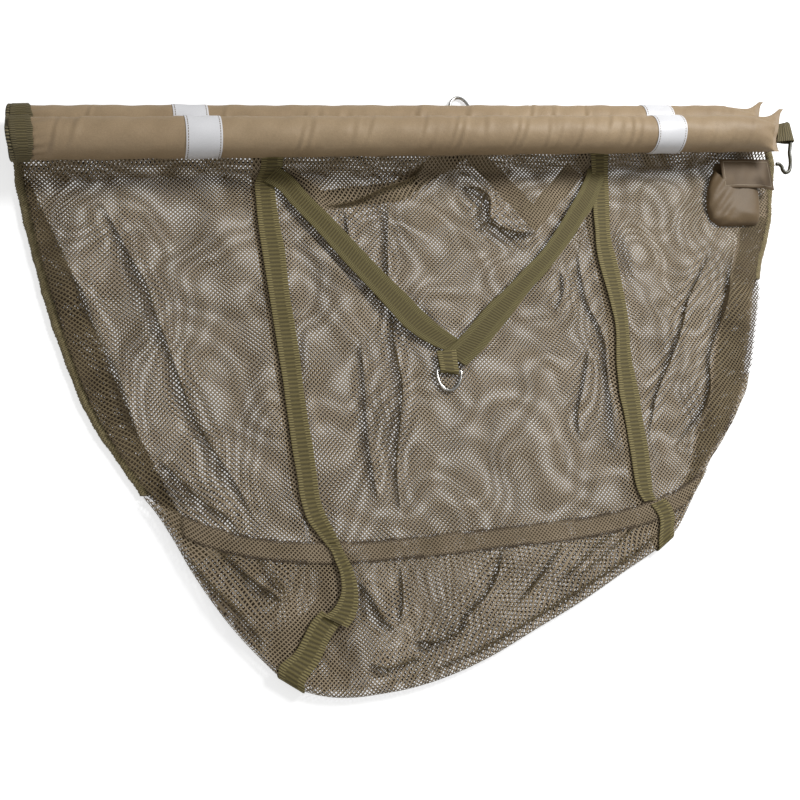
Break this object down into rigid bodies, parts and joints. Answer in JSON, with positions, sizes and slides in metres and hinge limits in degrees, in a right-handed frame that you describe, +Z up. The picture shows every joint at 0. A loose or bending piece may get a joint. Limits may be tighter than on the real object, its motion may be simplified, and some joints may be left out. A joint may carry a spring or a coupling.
{
  "type": "weigh sling",
  "caption": "Net weigh sling with foam float bars, webbing straps, ring handles, a flap pouch and an end hook, laid out flat.",
  "frame": {"origin": "on the floor at the middle of the laid-out sling", "axes": "+X along the float bars from the cuff end to the hook end, +Y from the foot of the bag towards the bars, +Z up"},
  "size_m": [1.121, 0.8196, 0.0954],
  "materials": {
    "foam": "closed-cell foam, hidden in the sleeves",
    "bar_nylon": "tan coated nylon, soft sheen, creased",
    "reflective_tape": "pale grey reflective tape",
    "net": "fine brown-olive knotless net",
    "webbing": "ribbed dark olive webbing",
    "pouch_nylon": "tan coated nylon",
    "chrome_wire": "polished wire",
    "coated_wire": "dark olive coated wire"
  },
  "bodies": {
    "rear_side": {"rear_foam_core": "foam", "rear_sleeve": "bar_nylon", "rear_band_left": "reflective_tape", "rear_band_right": "reflective_tape", "rear_net_panel": "net", "foot_net": "net", "seam_tape": "net", "left_side_binding": "webbing", "right_side_binding": "webbing", "left_strap_foot": "webbing", "right_strap_foot": "webbing", "left_wrap_rear": "webbing", "left_end_gather": "webbing", "rear_handle_left": "webbing", "rear_handle_right": "webbing"},
    "rear_pull": {"rear_ring_tab": "webbing"},
    "rear_ring": {"rear_d_ring": "chrome_wire"},
    "front_side": {"front_foam_core": "foam", "front_sleeve": "bar_nylon", "front_band_left": "reflective_tape", "front_band_right": "reflective_tape", "front_net_panel": "net", "left_strap_front": "webbing", "right_strap_front": "webbing", "left_wrap_front": "webbing", "right_end_loop": "webbing", "pouch_body": "pouch_nylon"},
    "front_handle": {"front_handle_left": "webbing", "front_handle_right": "webbing", "front_ring_tab": "webbing"},
    "front_ring": {"front_d_ring": "chrome_wire"},
    "pouch_lid": {"pouch_flap": "pouch_nylon"},
    "hook": {"end_hook": "coated_wire"}
  },
  "joints": [
    {"name": "sling_open", "type": "hinge", "parent": "rear_side", "child": "front_side", "pos_m": [0, -0.2263, 0.0148], "axis": [1, 0, 0], "range_deg": [0, 30]},
    {"name": "front_handle_lift", "type": "hinge", "parent": "front_side", "child": "front_handle", "pos_m": [-0.022, 0.28735, 0.01988], "axis": [-1, 0, 0], "range_deg": [0, 80]},
    {"name": "front_ring_swing", "type": "hinge", "parent": "front_handle", "child": "front_ring", "pos_m": [-0.022, -0.0098, 0.0195], "axis": [-1, 0, 0], "range_deg": [0, 120]},
    {"name": "rear_handle_pull", "type": "slide", "parent": "rear_side", "child": "rear_pull", "axis": [0, 1, 0], "range_m": [0, 0.16], "deforming": ["rear_handle_left", "rear_handle_right"]},
    {"name": "rear_ring_swing", "type": "hinge", "parent": "rear_pull", "child": "rear_ring", "pos_m": [0.063, 0.3774, 0.0041], "axis": [1, 0, 0], "range_deg": [0, 75]},
    {"name": "pouch_flap_lift", "type": "hinge", "parent": "front_side", "child": "pouch_lid", "pos_m": [0.4905, 0.28548, 0.0365], "axis": [-1, 0, 0], "range_deg": [0, 40]},
    {"name": "hook_swing", "type": "hinge", "parent": "front_side", "child": "hook", "pos_m": [0.5569, 0.31188, 0.06712], "axis": [0, 1, 0], "range_deg": [0, 75]}
  ]
}
